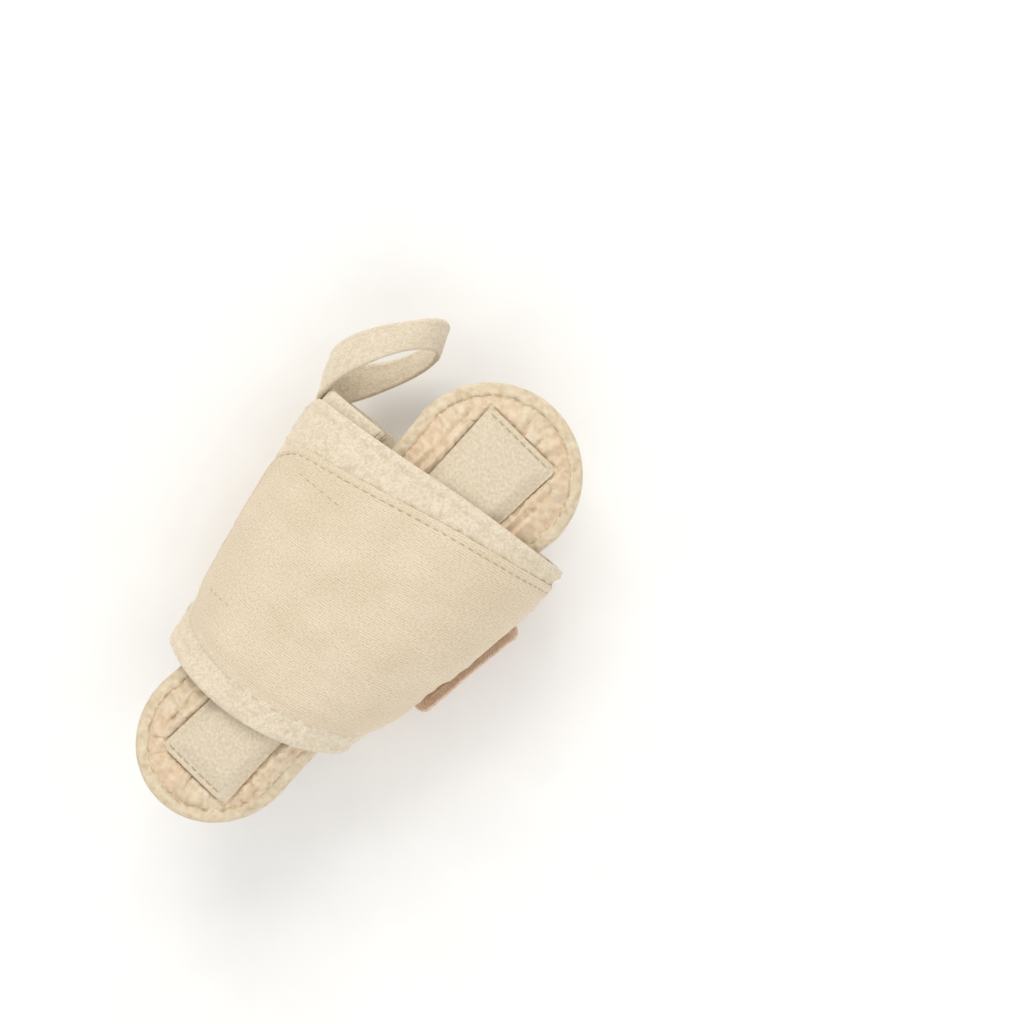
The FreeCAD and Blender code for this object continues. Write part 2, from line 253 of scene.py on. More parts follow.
def cloth_shader(name, roughness, sheen):
    """A matt cloth shader, its surface node and its flat-pattern coordinates in 100 mm units."""
    sockets = {"Roughness": roughness, "Specular IOR Level": 0.2, "Sheen Weight": sheen}
    sockets |= {"Sheen Roughness": 0.55, "Sheen Tint": linear("#FFF4E2")}
    material, surface = shader(name, sockets)
    pattern = add_node(material, "UVMap", {"uv_map": "cloth"}).outputs["UV"]
    return material, surface, pattern


def finish_cloth(material, surface, grain, stops, depth, strength=0.6, blush=None):
    """Colours a cloth by its grain, times a broader blush where it has one, and raises the
    grain by depth millimetres."""
    colour = add_node(material, "ValToRGB", {}, {"Fac": grain}, stops).outputs["Color"]
    if blush:
        colour = add_node(
            material,
            "Mix",
            {"data_type": "RGBA", "blend_type": "MULTIPLY"},
            {"Factor": 1.0, "A": colour, "B": blush},
        ).outputs["Result"]
    links = material.node_tree.links
    links.new(colour, surface.inputs["Base Color"])
    bump = add_node(
        material, "Bump", {}, {"Strength": strength, "Distance": depth * MM, "Height": grain}
    )
    links.new(bump.outputs["Normal"], surface.inputs["Normal"])
    return material


def ribbed_knit():
    """Warp-knitted nylon and elastane: fine ribs run round the wrist. The real ones are about
    0.5 mm apart, and are drawn at 0.8 mm so that they show."""
    material, surface, pattern = cloth_shader("ribbed_elastic_knit", 0.9, 0.3)
    ribs = add_node(
        material,
        "TexWave",
        {"bands_direction": "Y"},
        {"Vector": pattern, "Scale": 39.0, "Distortion": 5.5, "Detail": 3.0, "Detail Scale": 0.7},
    ).outputs["Fac"]
    stitches = add_node(
        material, "TexNoise", {}, {"Vector": pattern, "Scale": 130.0, "Detail": 3.0}
    ).outputs["Fac"]
    clouds = add_node(
        material, "TexNoise", {}, {"Vector": pattern, "Scale": 5.0, "Detail": 3.0}
    ).outputs["Fac"]
    grain = add_node(
        material, "Math", {"operation": "MULTIPLY_ADD"}, {0: ribs, 1: 0.3, 2: stitches}
    ).outputs[0]
    warm = add_node(
        material, "ValToRGB", {}, {"Fac": clouds}, ((0.35, "#F8F3EA"), (0.65, "#FFFBF6"))
    ).outputs["Color"]
    colours = ((0.35, "#C9BBA2"), (0.55, "#D9CBB4"), (0.8, "#E3D7C3"), (1.0, "#EAE0CF"))
    return finish_cloth(material, surface, grain, colours, 0.2, 0.6, warm)


def towelling():
    """Looped nylon towelling that hook tape grips. Its loops are about 0.5 mm, drawn at 0.8 mm,
    and they lie in tufts. Painted light and shade mottle it: lighter specks on the tufts' tops,
    darker colour in the hollows between the loops."""
    material, surface, pattern = cloth_shader("looped_towelling", 0.95, 0.45)
    warped = add_node(
        material,
        "TexNoise",
        {},
        {"Vector": pattern, "Scale": 30.0, "Detail": 4.0, "Roughness": 0.6},
    )
    bent = add_node(
        material,
        "VectorMath",
        {"operation": "MULTIPLY_ADD"},
        {0: warped.outputs["Color"], 1: (0.022, 0.02, 0.0), 2: pattern},
    ).outputs[0]
    loops = add_node(
        material,
        "TexVoronoi",
        {"feature": "SMOOTH_F1"},
        {"Vector": bent, "Scale": 130.0, "Smoothness": 0.5, "Randomness": 1.0},
    ).outputs["Distance"]
    tufts = add_node(
        material, "TexNoise", {}, {"Vector": bent, "Scale": 24.0, "Detail": 6.0, "Roughness": 0.7}
    ).outputs["Fac"]
    pile = add_node(
        material, "Math", {"operation": "SUBTRACT"}, {0: tufts, 1: loops}
    ).outputs[0]
    lifted = add_node(material, "Math", {"operation": "ADD"}, {0: pile, 1: 0.42}).outputs[0]
    # The ramp runs from painted shade where the pile dips between loops to painted highlight on the
    # tufts' tops.
    colours = ((0.15, "#D2C4AB"), (0.4, "#DBCDB5"), (0.6, "#E0D3BC"), (0.85, "#E7DBC7"))
    return finish_cloth(material, surface, lifted, colours, 0.22, 0.5)


def brushed_lining():
    """Brushed polyester tricot, soft and nearly plain, with a faint nap along the limb."""
    material, surface, pattern = cloth_shader("brushed_tricot_lining", 0.9, 0.5)
    stretched = add_node(material, "Mapping", {}, {"Vector": pattern, "Scale": (3.0, 0.6, 1.0)})
    nap = add_node(
        material,
        "TexNoise",
        {},
        {"Vector": stretched.outputs["Vector"], "Scale": 60.0, "Detail": 4.0},
    ).outputs["Fac"]
    colours = ((0.3, "#D3C6B0"), (0.55, "#DFD4C0"), (0.8, "#E8DFCE"))
    return finish_cloth(material, surface, nap, colours, 0.2, 0.5)


def fasten(piece, body, slot_name, material=None, *nodes):
    """Gives a piece its body and its material, in place of its CAD solids. Its slot name is
    not used.
    """
    if material:
        piece.data.materials.append(material)
    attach(piece, body)
    if nodes:
        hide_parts(*nodes)


knit = ribbed_knit()
terry = towelling()
tricot = brushed_lining()

WRAP_ANGLES = (144.0, 374.0)
WRAP_TWIST = -0.165
WRAP_FLAT = (142.0, 86.0)


def wrap_distal(x):
    return 47.0 + 0.112 * x


def wrap_proximal(x):
    return -38.6 + 0.07 * x


def wrap_angle(y, share):
    start = WRAP_ANGLES[0] + WRAP_TWIST * y
    return between((start, WRAP_ANGLES[1]), share)


def wrap_place(u, v):
    """The place along the limb and the angle round it, for a share of the wrap each way."""
    middle = wrap_angle(0.0, u)
    low = edge_place(on_limb, middle, wrap_proximal, -38.0)
    high = edge_place(on_limb, middle, wrap_distal, 46.0)
    y = between((low, high), v)
    return y, wrap_angle(y, u)


def wrap_slack(y, angle):
    """Shallow folds that run round the wrap where it draws in at the wrist."""
    fold = 0.45 * ripple(angle * 0.7, y * 1.9, 14.0, 3.0)
    fold += 0.2 * ripple(angle * 0.7, y * 3.4, 9.0, 8.0)
    return fold * smooth(150, 190, angle)


def wrap_face(low, high):
    """A layer of the wrap between two heights, for cloth to make."""

    def point(u, v, t):
        y, angle = wrap_place(u, v)
        sag = wrap_slack(y, angle) * (0.175 if angle % 360 > 250 else 0.35)
        return on_limb(y, angle, low + t * (high - low) + sag)

    return point


wrap_knit = cloth("wrap_knit", wrap_face(0.85, 2.4), WRAP_FLAT, (181, 71), 1.55)
fasten(wrap_knit, "wrap", "knit", knit, "base_wrap")

wrap_lining_cloth = cloth("wrap_lining_cloth", wrap_face(0.05, 0.8), WRAP_FLAT, (141, 55), 0.75)
fasten(wrap_lining_cloth, "wrap", "lining", tricot, "wrap_lining")


# ---- The tape bound over the wrap's two edges ----
# A strip of towelling folded over the raw edges of knit and lining and stitched through.
# It puckers a little between the stitches, because the wrap under it is elastic.

TAPE_REACH = 6.0
TAPE_ANGLES = (WRAP_ANGLES[0], 373.6)
TAPE_STITCH_ANGLES = (152.0, 338.0)


def tape_profile():
    """The folded tape's closed outline: how far in from the edge, and its height."""
    outside = [(-TAPE_REACH, 2.5), (-TAPE_REACH + 0.2, 3.0), (-4.4, 3.2), (-2.0, 3.2), (-0.4, 3.1)]
    nose = [(0.5, 2.6), (0.95, 1.8), (1.0, 1.0), (0.8, 0.2)]
    inside = [(0.2, -0.4), (-1.0, -0.65), (-3.5, -0.7), (-TAPE_REACH, -0.55)]
    hollow = [(-TAPE_REACH, -0.1), (-0.1, -0.05), (0.0, 1.2), (-0.1, 2.42)]
    return outside + nose + inside + hollow


def bound_edge(name, edge, direction, start):
    rings = []
    for i in range(241):
        angle = between(TAPE_ANGLES, i / 240)
        y = edge_place(on_limb, angle, edge, start)
        ring = []
        for reach, height in tape_profile():
            pucker = 0.0
            if height > 2.45 or height < -0.3:
                pucker = 0.16 * ripple(angle * 1.7, reach, 2.6, direction * 5.0)
                pucker *= 1 if height > 0 else -1
            under_flap = smooth(328.0, 345.0, angle)
            if height > 2.4:
                pucker = pucker * (1 - under_flap) - 0.45 * (height - 2.4) * under_flap
            place = y + direction * reach
            turned = angle + WRAP_TWIST * place * max(0.0, 1 - (angle - TAPE_ANGLES[0]) / 40)
            ring.append(on_limb(place, turned, height + pucker))
        rings.append(ring if direction > 0 else ring[::-1])
    piece = swept(name, rings)
    piece.data.materials.append(terry)
    fasten(piece, "wrap", "towelling")
    return piece


distal_tape = bound_edge("distal_edge_tape", wrap_distal, 1, 46.0)
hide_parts("distal_binding")
proximal_tape = bound_edge("proximal_edge_tape", wrap_proximal, -1, -38.0)
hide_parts("proximal_binding")


# ---- Machine stitching along the tapes ----
# Polyester thread in a plain lock stitch, about 3 mm a stitch, a shade darker than the cloth.
# Each stitch is a short arched length of thread whose ends dive into the cloth.


def sewing_thread(name, roughness, sheen, colours):
    """Spun polyester thread, twisted, with the soft shine of its fibres."""
    material, surface, pattern = cloth_shader(name, roughness, sheen)
    twist = add_node(
        material, "TexWave", {"bands_direction": "DIAGONAL"}, {"Vector": pattern, "Scale": 160.0}
    ).outputs["Fac"]
    return finish_cloth(material, surface, twist, colours, 0.08, 0.5)


thread = sewing_thread("polyester_thread", 0.6, 0.2, ((0.2, "#BBA98A"), (0.8, "#D3C4A8")))
STITCH_LENGTH = 2.4
STITCH_GAP = 0.7
THREAD = 0.17
STITCH_INSET = 0.4


def band(a, b, count):
    """Faces between two rings of count points, that start at points a and b."""
    return [(a + k, a + (k + 1) % count, b + (k + 1) % count, b + k) for k in range(count)]


def stitched(name, path, lift, colour=thread):
    """One mesh of stitches along a path of points; lift is the cloth's outward way at each."""
    lengths = [0.0]
    for a, b in zip(path, path[1:]):
        lengths.append(lengths[-1] + (b - a).length)
    verts, faces, uvs = [], [], []
    start = STITCH_INSET

    def at(distance):
        i = min(max(int(np.searchsorted(lengths, distance)) - 1, 0), len(path) - 2)
        span = max(lengths[i + 1] - lengths[i], 1e-6)
        t = (distance - lengths[i]) / span
        return path[i].lerp(path[i + 1], t), (path[i + 1] - path[i]).normalized(), lift[i]

    while start + STITCH_LENGTH < lengths[-1]:
        first = len(verts)
        for k in range(7):
            t = k / 6
            p, way, up = at(start + t * STITCH_LENGTH)
            up = (up - way * up.dot(way)).normalized()
            side = way.cross(up)
            rise = THREAD * (1.5 * math.sin(math.pi * t) - 0.75)
            radius = THREAD * (0.6 + 0.4 * math.sin(math.pi * t))
            for m in range(6):
                a = m * math.pi / 3
                verts.append(p + up * (rise + radius * math.sin(a)) + side * radius * math.cos(a))
                uvs.append((t * STITCH_LENGTH / 100, m * 0.3 / 100))
        for k in range(6):
            faces += band(first + k * 6, first + (k + 1) * 6, 6)
        faces.append(tuple(range(first + 5, first - 1, -1)))
        faces.append(tuple(range(len(verts) - 6, len(verts))))
        start += STITCH_LENGTH + STITCH_GAP
    piece = shown(name, verts, faces, uvs)
    piece.data.materials.append(colour)
    return piece


def outward(points):
    """The cloth's outward direction at each point, from the middle of the limb."""
    ways = []
    for p in points:
        centre, _, middle, _ = limb(p.y)
        ways.append(Vector((p.x - centre, 0.0, (p.z - middle) * 1.6)).normalized())
    return ways


def tape_stitches(name, edge, direction, start):
    path = []
    for i in range(200):
        angle = between(TAPE_STITCH_ANGLES, i / 199)
        y = edge_place(on_limb, angle, edge, start) - direction * (TAPE_REACH - 1.3)
        path.append(on_limb(y, angle, 3.2))
    piece = stitched(name, path, outward(path))
    fasten(piece, "wrap", "edge_tape")


tape_stitches("distal_tape_stitching", wrap_distal, 1, 46.0)
tape_stitches("proximal_tape_stitching", wrap_proximal, -1, -38.0)


# ---- The two loop patches sewn on the wrap ----
# Squares of brushed loop that the flap's and the tab's hooks grip, sewn flat on the knit.
# The flap closes on the one at the thumb side, and the tab on the one at the little finger.


def sewn_patch(name, angles, span, heights, size, material, surface=on_limb):
    """A patch between two angles round the limb and over a span along it."""

    def point(u, v, t):
        angle, y = between(angles, u), between(span, v)
        return surface(y, angle, between(heights, t) + 0.08 * ripple(angle, y, 5.0, 2.0))

    piece = cloth(name, point, size, (49, 61), heights[1] - heights[0])
    piece.data.materials.append(material)
    return piece


radial_patch = sewn_patch(
    "radial_loop_cloth", (150.0, 172.0), (-28.0, 18.0), (2.45, 2.9), (23.0, 46.0), terry
)
fasten(radial_patch, "wrap", "towelling", None, "radial_loop_patch")
ulnar_patch = sewn_patch(
    "ulnar_loop_cloth", (-38.0, -22.0), (-9.0, 26.0), (2.45, 2.9), (13.0, 35.0), terry
)
fasten(ulnar_patch, "wrap", "towelling", None, "ulnar_loop_patch")


# ---- The flap ----
# A wide double panel that closes over the pad: towelling behind, ribbed knit on the face,
# and a smooth lining. It is sewn to the wrap at the little-finger side and folds open there.

FLAP_SEWN, FLAP_SIDE = 2.6, 3.6
FLAP_CROWN = 8.8
FLAP_ANGLES = (-30.0, 175.0)
FLAP_FLAT = (142.0, 95.0)
THUMB_SIDE_SETBACK = 4.0


def joint_place(name):
    return Vector(next(j for j in frame["joints"] if j["name"] == name)["pos_m"])


HINGE_AT = joint_place("flap_open")


def on_flap(y, angle, height):
    """The flap stands off over the pad, and comes down to the wrap below its sewn line."""
    side = between((FLAP_SEWN, FLAP_SIDE), smooth(-32.0, 12.0, angle))
    return on_limb(y, angle, height + side, 0.0, FLAP_CROWN - FLAP_SIDE)


def flap_proximal(x):
    return -51.6 + 0.0067 * (x + 17.0) ** 2


def corner(share, reach, depth):
    """How far an edge draws in over the last share of the flap, as a round corner does."""
    t = min(max((share - 1 + reach) / reach, 0.0), 1.0)
    return depth * (1 - math.sqrt(1 - t * t))


def flap_edges(angle, distal_in=0.0, proximal_in=0.0, slope=0.0):
    distal_in += THUMB_SIDE_SETBACK * smooth(40.0, 165.0, angle)
    low = edge_place(on_flap, angle, lambda x: flap_proximal(x) + proximal_in, -45.0)
    high = edge_place(on_flap, angle, lambda x: wrap_distal(x) - distal_in + slope * x, 46.0)
    return low, high


def flap_folds(y, angle):
    """Fine folds across the flap, drawn out towards the little finger, over a soft swell."""
    pull = 0.35 + 0.65 * smooth(150.0, 30.0, angle) if angle < 150 else 0.35
    fine = ripple(angle * 0.35, y * 1.7, 6.5, 11.0) * 0.5 * pull
    broad = ripple(angle * 0.5, y, 17.0, 4.0) * 0.6
    side = ripple(3.0, y, 19.0, 40.0) * 1.6 * smooth(60.0, 15.0, angle) if angle < 60 else 0.0
    return fine + broad + side


def swell(x, middle, width):
    """A smooth hump, 1 high at its middle and about twice its width across."""
    return math.exp(-(((x - middle) / width) ** 2))


def border_tufts(y, angle, inset, low_in):
    """The border's lumpy towelling: gathered along its seam, rolled at its free edge."""
    lumps = 0.6 * ripple(angle * 0.6, y, 3.1, 21.0) + 0.35 * ripple(angle * 0.8, y, 1.7, 6.0)
    roll = 0.45 * swell(inset, 1.5, 1.0) - 0.3 * swell(inset, 3.4, 0.6)
    return flap_folds(y, angle) + lumps * smooth(0.0, 1.5, inset) + roll


NO_INSETS = (0.0, 0.0, 0.0)
ROUNDING = (0.075, 9.0)
LOW_ROUNDING = (0.13, 9.0)


def flap_sheet(
    name, angles, size, counts, heights, relief, insets=NO_INSETS, rounding=ROUNDING
):
    """A layer of the flap between two heights: relief shapes its face, insets draw its edges
    in from the flap's own, and rounding is its distal corner's reach and depth."""
    edges = {}

    def point(u, v, t):
        angle = between(angles, u)
        key = round(u, 6)
        if key not in edges:
            near, far = flap_edges(angle, *insets)
            near += corner(u, *LOW_ROUNDING)
            far -= corner(u, *rounding)
            edges[key] = near, far
        near, far = edges[key]
        low_in = v * (far - near)
        y = near + low_in
        inset = min(low_in, (1 - v) * (far - near), (1 - u) * size[0])
        face = relief(y, angle, inset, low_in) if t > 0.4 else flap_folds(y, angle)
        return on_flap(y, angle, between(heights, t) + face)

    return cloth(name, point, size, counts, heights[1] - heights[0])


def hang_flap(piece, nodes):
    """Puts a piece of the flap in place of its CAD solids, with its placement baked into its mesh.
    """
    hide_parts(*nodes)
    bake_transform(piece)


flap_towelling = flap_sheet(
    "flap_towelling", FLAP_ANGLES, FLAP_FLAT, (261, 151), (0.65, 1.9), border_tufts
)
flap_towelling.data.materials.append(terry)
hang_flap(flap_towelling, ["flap_backing"])

PANEL_ANGLES = (-30.0, 165.5)
PANEL_WIDTH = 137.0
PANEL_INSETS = (10.0, 8.5, 0.125)


def panel_relief(y, angle, inset, low_in):
    """The knit puffs up beside its seam and is drawn down at the stitching. Its proximal edge
    is felled flat into the towelling, so hardly any seam shows there."""
    felled = smooth(6.0, 0.0, low_in)
    seam = -0.5 * swell(inset, 2.2, 0.45) * (1 - felled)
    puff = 0.22 * smooth(0.0, 1.2, inset) - 0.95 * felled
    gather = 0.13 * ripple(angle * 1.6, y, 2.4, 30.0) * math.exp(-inset / 5.0)
    return flap_folds(y, angle) + seam + puff + gather


PANEL_ROUNDING = (0.11, 14.0)
flap_knit = flap_sheet(
    "flap_ribbed_panel",
    PANEL_ANGLES,
    (PANEL_WIDTH, 80.0),
    (251, 131),
    (1.9, 2.95),
    panel_relief,
    PANEL_INSETS,
    PANEL_ROUNDING,
)
flap_knit.data.materials.append(knit)
hang_flap(flap_knit, ["flap_panel", "flap_anchor_strip"])

flap_inside = flap_sheet(
    "flap_inner_lining",
    (-12.0, 174.0),
    (125.0, 96.0),
    (161, 101),
    (0.05, 0.6),
    lambda y, angle, inset, low_in: flap_folds(y, angle),
    (0.8, 0.8, 0.0),
)
flap_inside.data.materials.append(tricot)
hang_flap(flap_inside, ["flap_lining"])


# ---- The flap's seam stitching ----
# One row runs just inside the ribbed panel's distal side and free end, and shorter rows show
# where the hook patch is sewn on behind.


def panel_line(inset):
    """Points along the panel's distal side and free end, this far inside its edge."""

    def on_panel(u, share):
        angle = between(PANEL_ANGLES, u)
        near, far = flap_edges(angle, *PANEL_INSETS)
        near += corner(u, *LOW_ROUNDING) + inset
        far -= corner(u, *PANEL_ROUNDING) + inset
        y = between((near, far), share)
        return on_flap(y, angle, 2.72 + flap_folds(y, angle))

    end = 1 - inset / PANEL_WIDTH
    distal = [on_panel(end * i / 220, 1.0) for i in range(221)]
    return distal + [on_panel(end, 1 - k / 30) for k in range(1, 27)]


# Where the seam's thread is drawn down into the knit it sits in shadow, so it is darker there.
shaded_seam_thread = sewing_thread("shaded_seam_thread", 0.75, 0.1, ((0.2, "#B3A183"), (0.8, "#CBBB9D")))
seam_path = panel_line(2.2)
seam_row = stitched("flap_seam_stitching", seam_path, outward(seam_path), shaded_seam_thread)
hang_flap(seam_row, [])


def hook_patch_rows():
    """The two long rows of the hook patch's stitching that show through the flap."""
    rows = []
    for y, angles in ((18.5, (118.0, 146.0)), (-27.5, (128.0, 147.0))):
        row = []
        for i in range(40):
            angle = between(angles, i / 39)
            place = y + 0.11 * (on_flap(y, angle, 0).x + 22)
            row.append(on_flap(place, angle, 3.1 + flap_folds(place, angle)))
        rows.append(row)
    return rows


for number, row in enumerate(hook_patch_rows()):
    piece = stitched(f"hook_patch_stitching_{number + 1}", row, outward(row))
    hang_flap(piece, [])


# ---- The flap's hook patch ----
# A patch of moulded nylon hook tape sewn under the flap's free end. Real hooks stand 0.4 mm
# apart; they are drawn 1.3 mm apart so that they show.


def hook_nylon():
    """Moulded nylon on a woven tape: slightly shiny, pinkish brown."""
    material, surface, pattern = cloth_shader("hook_tape_nylon", 0.5, 0.05)
    weave = add_node(
        material, "TexNoise", {}, {"Vector": pattern, "Scale": 80.0, "Detail": 3.0}
    ).outputs["Fac"]
    return finish_cloth(
        material, surface, weave, ((0.3, "#BC9D80"), (0.7, "#D6BCA2")), 0.15, 0.5
    )


nylon_hooks = hook_nylon()


def hooks(name, surface, angles, span, height, down, step=1.3):
    """Rows of small bent hooks standing off a tape; down is -1 where they point at the limb."""
    verts, faces, uvs = [], [], []
    middle = (span[0] + span[1]) / 2
    wide = (surface(middle, angles[1], height) - surface(middle, angles[0], height)).length
    columns = max(2, int(wide / step))
    rows = max(2, int((span[1] - span[0]) / step))
    for i in range(columns):
        for j in range(rows):
            angle = between(angles, (i + 0.5) / columns)
            y = between(span, (j + 0.5) / rows)
            foot = surface(y, angle, height)
            tip = surface(y, angle, height + down)
            up = (tip - foot).normalized()
            side = Vector((0, 1, 0))
            across = up.cross(side)
            first = len(verts)
            bends = ((0.0, 0.0, 0.17), (0.22, 0.0, 0.12), (0.32, 0.12, 0.1), (0.24, 0.26, 0.06))
            for rise, lean, half in bends:
                p = foot + up * rise + side * lean * (1 if (i + j) % 2 else -1)
                for a, b in ((-1, -1), (1, -1), (1, 1), (-1, 1)):
                    verts.append(p + across * half * a + side * half * b)
                    uvs.append((p.x / 100, p.y / 100))
            for k in range(3):
                faces += band(first + 4 * k, first + 4 * k + 4, 4)
            faces.append((first + 3, first + 2, first + 1, first))
            faces.append(tuple(range(first + 12, first + 16)))
    piece = shown(name, verts, faces, uvs)
    piece.data.materials.append(nylon_hooks)
    return piece


flap_hook_tape = sewn_patch(
    "flap_hook_tape",
    (152.0, 170.0),
    (-27.0, 17.0),
    (-0.2, 0.05),
    (16.0, 44.0),
    nylon_hooks,
    on_flap,
)
fasten(flap_hook_tape, "flap", "hook_tape", None, "flap_hook_patch")
flap_hooks = hooks("flap_hooks", on_flap, (152.5, 169.5), (-26.0, 16.0), -0.2, -1)
fasten(flap_hooks, "flap", "hook_tape")


# ---- The dorsal strap and its tab ----
# A 40 mm strap of close pinkish-brown cloth, sewn across the back of the wrap. Its free end
# is the tab at the little-finger side, with hook tape inside and rounded corners.

STRAP_SPAN = (-11.2, 28.3)
STRAP_ANGLES = (-155.0, -12.0)
TAB_ROOT = -38.5
TAB_SPREAD = 7.1
PEEL_AT = joint_place("strap_tab_peel")


def strap_weave():
    """Close woven nylon and cotton strap: its diagonal twill is about 0.8 mm."""
    material, surface, pattern = cloth_shader("twill_strap", 0.8, 0.3)
    twill = add_node(
        material,
        "TexWave",
        {"bands_direction": "DIAGONAL"},
        {"Vector": pattern, "Scale": 55.0, "Distortion": 2.0},
    ).outputs["Fac"]
    fuzz = add_node(
        material, "TexNoise", {}, {"Vector": pattern, "Scale": 60.0, "Detail": 4.0}
    ).outputs["Fac"]
    grain = add_node(
        material, "Math", {"operation": "MULTIPLY_ADD"}, {0: twill, 1: 0.25, 2: fuzz}
    ).outputs[0]
    colours = ((0.4, "#CFB39A"), (0.65, "#DDC4AF"), (0.95, "#E9D8C8"))
    return finish_cloth(material, surface, grain, colours, 0.25, 0.6)


strap_twill = strap_weave()


def tab_stand(angle):
    """How far the tab stands off beyond the strap's own height, growing towards its tip."""
    share = min(max((angle - TAB_ROOT) / (STRAP_ANGLES[1] - TAB_ROOT), 0.0), 1.0)
    return 0.85 * smooth(-48.0, TAB_ROOT, angle) + TAB_SPREAD * share**2


def strap_point(u, v, t):
    angle = between(STRAP_ANGLES, u)
    draw = corner(u, 0.03, 3.2)
    y0, y1 = STRAP_SPAN[0] - 1.5 + draw * 0.7, STRAP_SPAN[1] - draw
    y = between((y0, y1), v)
    hem = 0.25 * swell(min(v, 1 - v) * (y1 - y0), 0.0, 1.2)
    wave = 0.12 * ripple(angle, y, 7.0, 14.0)
    stand = tab_stand(angle) * (1 + 0.05 * math.sin(angle * 0.2 + y * 0.11))
    return on_limb(y, angle, 2.5 + stand + 1.25 * t + (hem + wave) * (t > 0.4))


strap = cloth("dorsal_strap_and_tab", strap_point, (95.0, 39.5), (181, 61), 1.25)
strap.data.materials.append(strap_twill)
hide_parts("dorsal_strap", "strap_tab")
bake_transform(strap)


def tab_inside(y, angle, height):
    return on_limb(y, angle, 2.5 + tab_stand(angle) + height)


tab_hook_tape = sewn_patch(
    "tab_hook_tape",
    (-36.0, -14.0),
    (-8.0, 25.0),
    (-0.45, 0.0),
    (18.0, 33.0),
    nylon_hooks,
    tab_inside,
)
fasten(tab_hook_tape, "strap_tab", "hook_tape", None, "tab_hook_patch")
tab_hooks = hooks("tab_hooks", tab_inside, (-35.5, -14.5), (-7.5, 24.5), -0.45, -1)
fasten(tab_hooks, "strap_tab", "hook_tape")


def strap_row(name, points):
    # Strap rows use the seam thread, whose darker colour is painted shade.
    piece = stitched(name, points, outward(points), shaded_seam_thread)
    return piece


for number, y in enumerate((STRAP_SPAN[0] + 2.2, STRAP_SPAN[1] - 2.2)):
    row = []
    for i in range(160):
        angle = between((-154.0, -18.0), i / 159)
        row.append(on_limb(y, angle, 3.95 + tab_stand(angle)))
    piece = strap_row(f"strap_edge_stitching_{number + 1}", row)
    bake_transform(piece)

for number, angle in enumerate((-151.5, -60.0)):
    row = [on_limb(STRAP_SPAN[0] + 2.5 + 34.5 * i / 40, angle, 3.95) for i in range(41)]
    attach(strap_row(f"strap_end_stitching_{number + 1}", row), "wrap")


# ---- The strip that joins pad and wrap ----
# A piece of the same knit, sewn under the wrap's little-finger end and under the pad's edge,
# so that the pad stays in place when the flap is open.

SIDE_STRIP_ANGLES = (4.0, 52.0)
SIDE_STRIP_SPAN = (-28.0, 36.0)


def side_strip_point(u, v, t):
    angle, y = between(SIDE_STRIP_ANGLES, u), between(SIDE_STRIP_SPAN, v)
    belly = math.sin(math.pi * u)
    waist = 2.0 * belly * (1 - 2 * v)
    sag = -0.5 * belly + 0.25 * ripple(angle, y * 0.5, 5.0, 33.0) * belly
    return on_limb(y + waist, angle, -0.72 + 0.65 * t + sag)


side_strip = cloth("pad_side_strip_cloth", side_strip_point, (33.0, 64.0), (61, 81), 0.65)
fasten(side_strip, "wrap", "knit", knit, "pad_side_strip")

for number, angle in enumerate((15.5, 17.5)):
    row = [on_limb(SIDE_STRIP_SPAN[0] + 3 + 58.0 * i / 60, angle, -0.35) for i in range(61)]
    piece = stitched(f"side_strip_stitching_{number + 1}", row, outward(row))
    fasten(piece, "wrap", "knit")


# ---- The palmar pad ----
# A long foam pad, 4.5 mm thick, round at both ends: brushed lining behind, soft loop cloth on
# the face. Its cloth is gathered into the rim's seam, so it puckers round both ends.

PAD_TOP, PAD_LOW = 57.8, -60.8
PAD_WIDE, PAD_NARROW = 29.0, 25.6
PAD_TOP_X, PAD_LOW_X = 0.5, -1.9
PAD_WAIST = (-25.0, 23.4)
RIM = 4.6
POCKET_HALVES = (13.0, 11.8, 14.0)
POCKET_ENDS = (-72.9, 73.0)


def on_pad(x, y, height):
    """A point above the pad's skin side, from its place seen from the palm."""
    centre, half, middle, depth = limb(y)
    across = half + 1.0 + height
    share = min(abs(x - centre) / across, 0.995)
    return Vector((x, y, middle + (depth + height) * (1 - share**SQUARENESS) ** (1 / SQUARENESS)))


